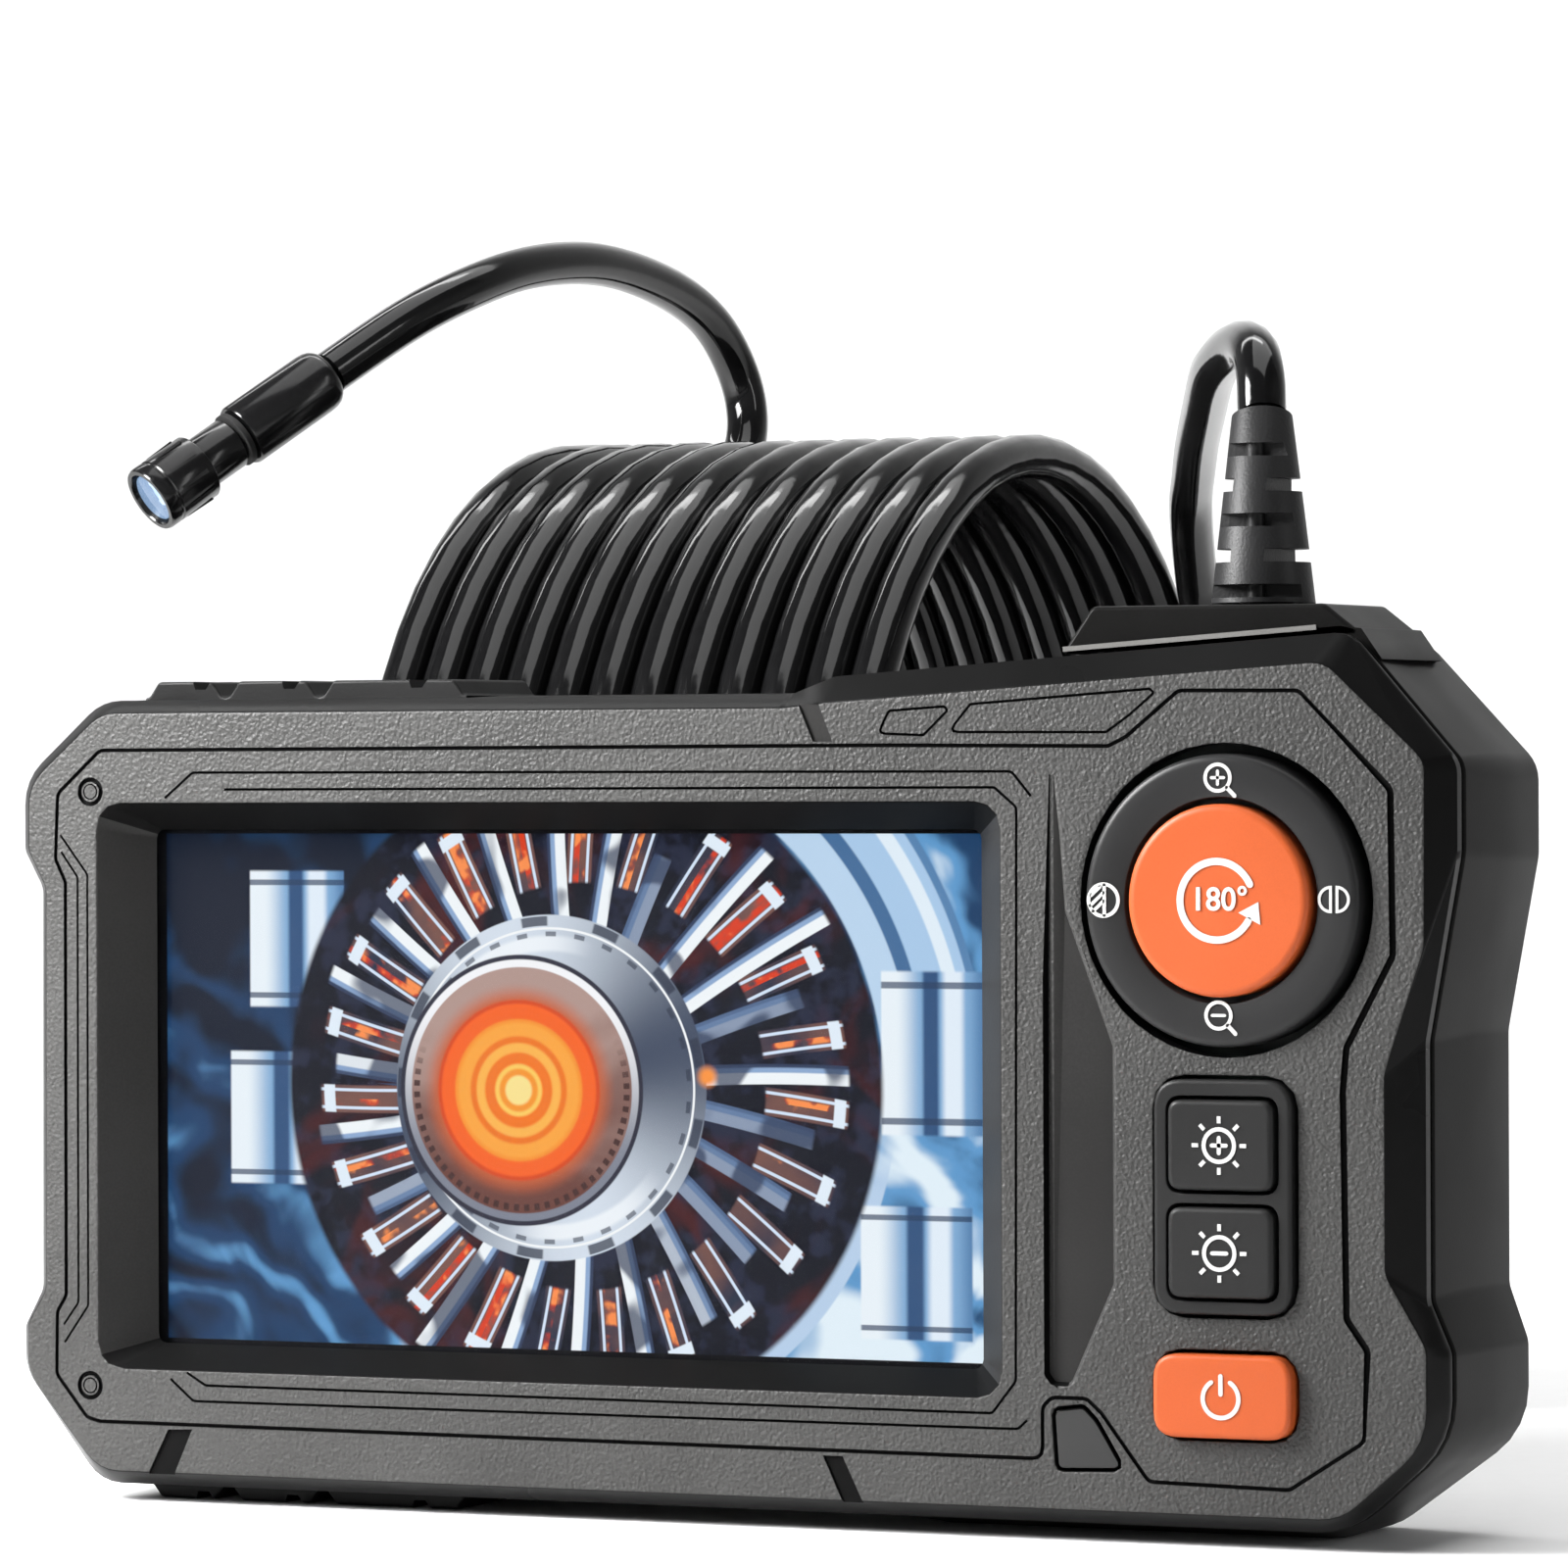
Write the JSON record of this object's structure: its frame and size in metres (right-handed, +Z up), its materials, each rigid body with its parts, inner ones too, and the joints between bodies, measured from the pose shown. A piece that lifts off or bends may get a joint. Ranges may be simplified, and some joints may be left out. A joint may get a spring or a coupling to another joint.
{
  "type": "inspection camera",
  "caption": "Handheld inspection camera: a handset with a display, ring pad and keys, and a semi-rigid cable coiled behind it that ends in a small camera probe.",
  "frame": {"origin": "under the middle of the handset, on the surface it stands on", "axes": "+Z up, -Y out of the display, +X to the display's right"},
  "size_m": [0.1699, 0.15, 0.1398],
  "materials": {
    "face_plastic": "fine grained moulding",
    "shell_plastic": "satin",
    "seal_rubber": "matte",
    "grip_rubber": "matte",
    "boot_rubber": "matte",
    "window_glass": "polished",
    "display": "lit picture",
    "plated_steel": "plated",
    "circuit_board": "solder mask",
    "chip_black": "moulded",
    "tray_plastic": "moulded",
    "battery_wrap": "shrink wrap",
    "pad_plastic": "satin",
    "key_orange": "satin",
    "key_rubber": "matte",
    "smoked_plastic": "polished",
    "brass": "turned",
    "cable_jacket": "glossy jacket",
    "probe_housing": "glossy",
    "led_board": "lit",
    "lens_black": "polished",
    "screw_steel": "zinc plated"
  },
  "bodies": {
    "handset": {"front_shell": "face_plastic", "rear_shell": "shell_plastic", "gland_block": "shell_plastic", "shell_gasket": "seal_rubber", "top_grip_pad": "grip_rubber", "bottom_grip_pad": "grip_rubber", "strain_relief": "boot_rubber", "display_window": "window_glass", "lcd_panel": "display", "lcd_frame": "plated_steel", "main_board": "circuit_board", "key_board": "circuit_board", "main_processor": "chip_black", "usb_socket": "plated_steel", "card_slot": "plated_steel", "battery_tray": "tray_plastic", "battery": "battery_wrap", "key_surround": "key_rubber", "indicator_window": "smoked_plastic", "gland_nut": "brass", "cable_riser": "cable_jacket", "cable_coil": "cable_jacket", "cable_lead": "cable_jacket", "probe_collar": "probe_housing", "probe_body": "probe_housing", "probe_seal": "seal_rubber", "probe_window": "window_glass", "led_ring": "led_board", "camera_module": "lens_black", "case_screw_1": "screw_steel", "case_screw_2": "screw_steel", "case_screw_3": "screw_steel", "case_screw_4": "screw_steel", "case_screw_5": "screw_steel", "case_screw_6": "screw_steel", "switch_up": "chip_black", "switch_down": "chip_black", "switch_left": "chip_black", "switch_right": "chip_black", "switch_centre": "chip_black", "switch_bright_up": "chip_black", "switch_bright_down": "chip_black", "switch_power": "chip_black"},
    "pad_rocker": {"pad_rocker": "tray_plastic"},
    "ring_pad": {"ring_pad": "pad_plastic"},
    "centre_button": {"centre_button": "key_orange"},
    "bright_up_key": {"bright_up_key": "key_rubber"},
    "bright_down_key": {"bright_down_key": "key_rubber"},
    "power_button": {"power_button": "key_orange"},
    "port_cover": {"port_cover": "grip_rubber"}
  },
  "joints": [
    {"name": "pad_tilt_sideways", "type": "hinge", "parent": "handset", "child": "pad_rocker", "pos_m": [0.05765, -0.009, 0.0645], "axis": [0, 0, 1], "range_deg": [-2.5, 2.5], "stiffness_Nm_per_rad": 0.2},
    {"name": "pad_tilt_updown", "type": "hinge", "parent": "pad_rocker", "child": "ring_pad", "pos_m": [0.05765, -0.009, 0.0645], "axis": [1, 0, 0], "range_deg": [-2.5, 2.5], "stiffness_Nm_per_rad": 0.2},
    {"name": "centre_button_press", "type": "slide", "parent": "handset", "child": "centre_button", "axis": [0, 1, 0], "range_m": [0, 0.0005], "stiffness_N_per_m": 300, "springref_m": -0.0006},
    {"name": "bright_up_press", "type": "slide", "parent": "handset", "child": "bright_up_key", "axis": [0, 1, 0], "range_m": [0, 0.0005], "stiffness_N_per_m": 300, "springref_m": -0.0006},
    {"name": "bright_down_press", "type": "slide", "parent": "handset", "child": "bright_down_key", "axis": [0, 1, 0], "range_m": [0, 0.0005], "stiffness_N_per_m": 300, "springref_m": -0.0006},
    {"name": "power_press", "type": "slide", "parent": "handset", "child": "power_button", "axis": [0, 1, 0], "range_m": [0, 0.0005], "stiffness_N_per_m": 300, "springref_m": -0.0006},
    {"name": "port_cover_hinge", "type": "hinge", "parent": "handset", "child": "port_cover", "pos_m": [-0.07965, 0.0031, 0.0311], "axis": [0, -1, 0], "range_deg": [0, 110]}
  ]
}
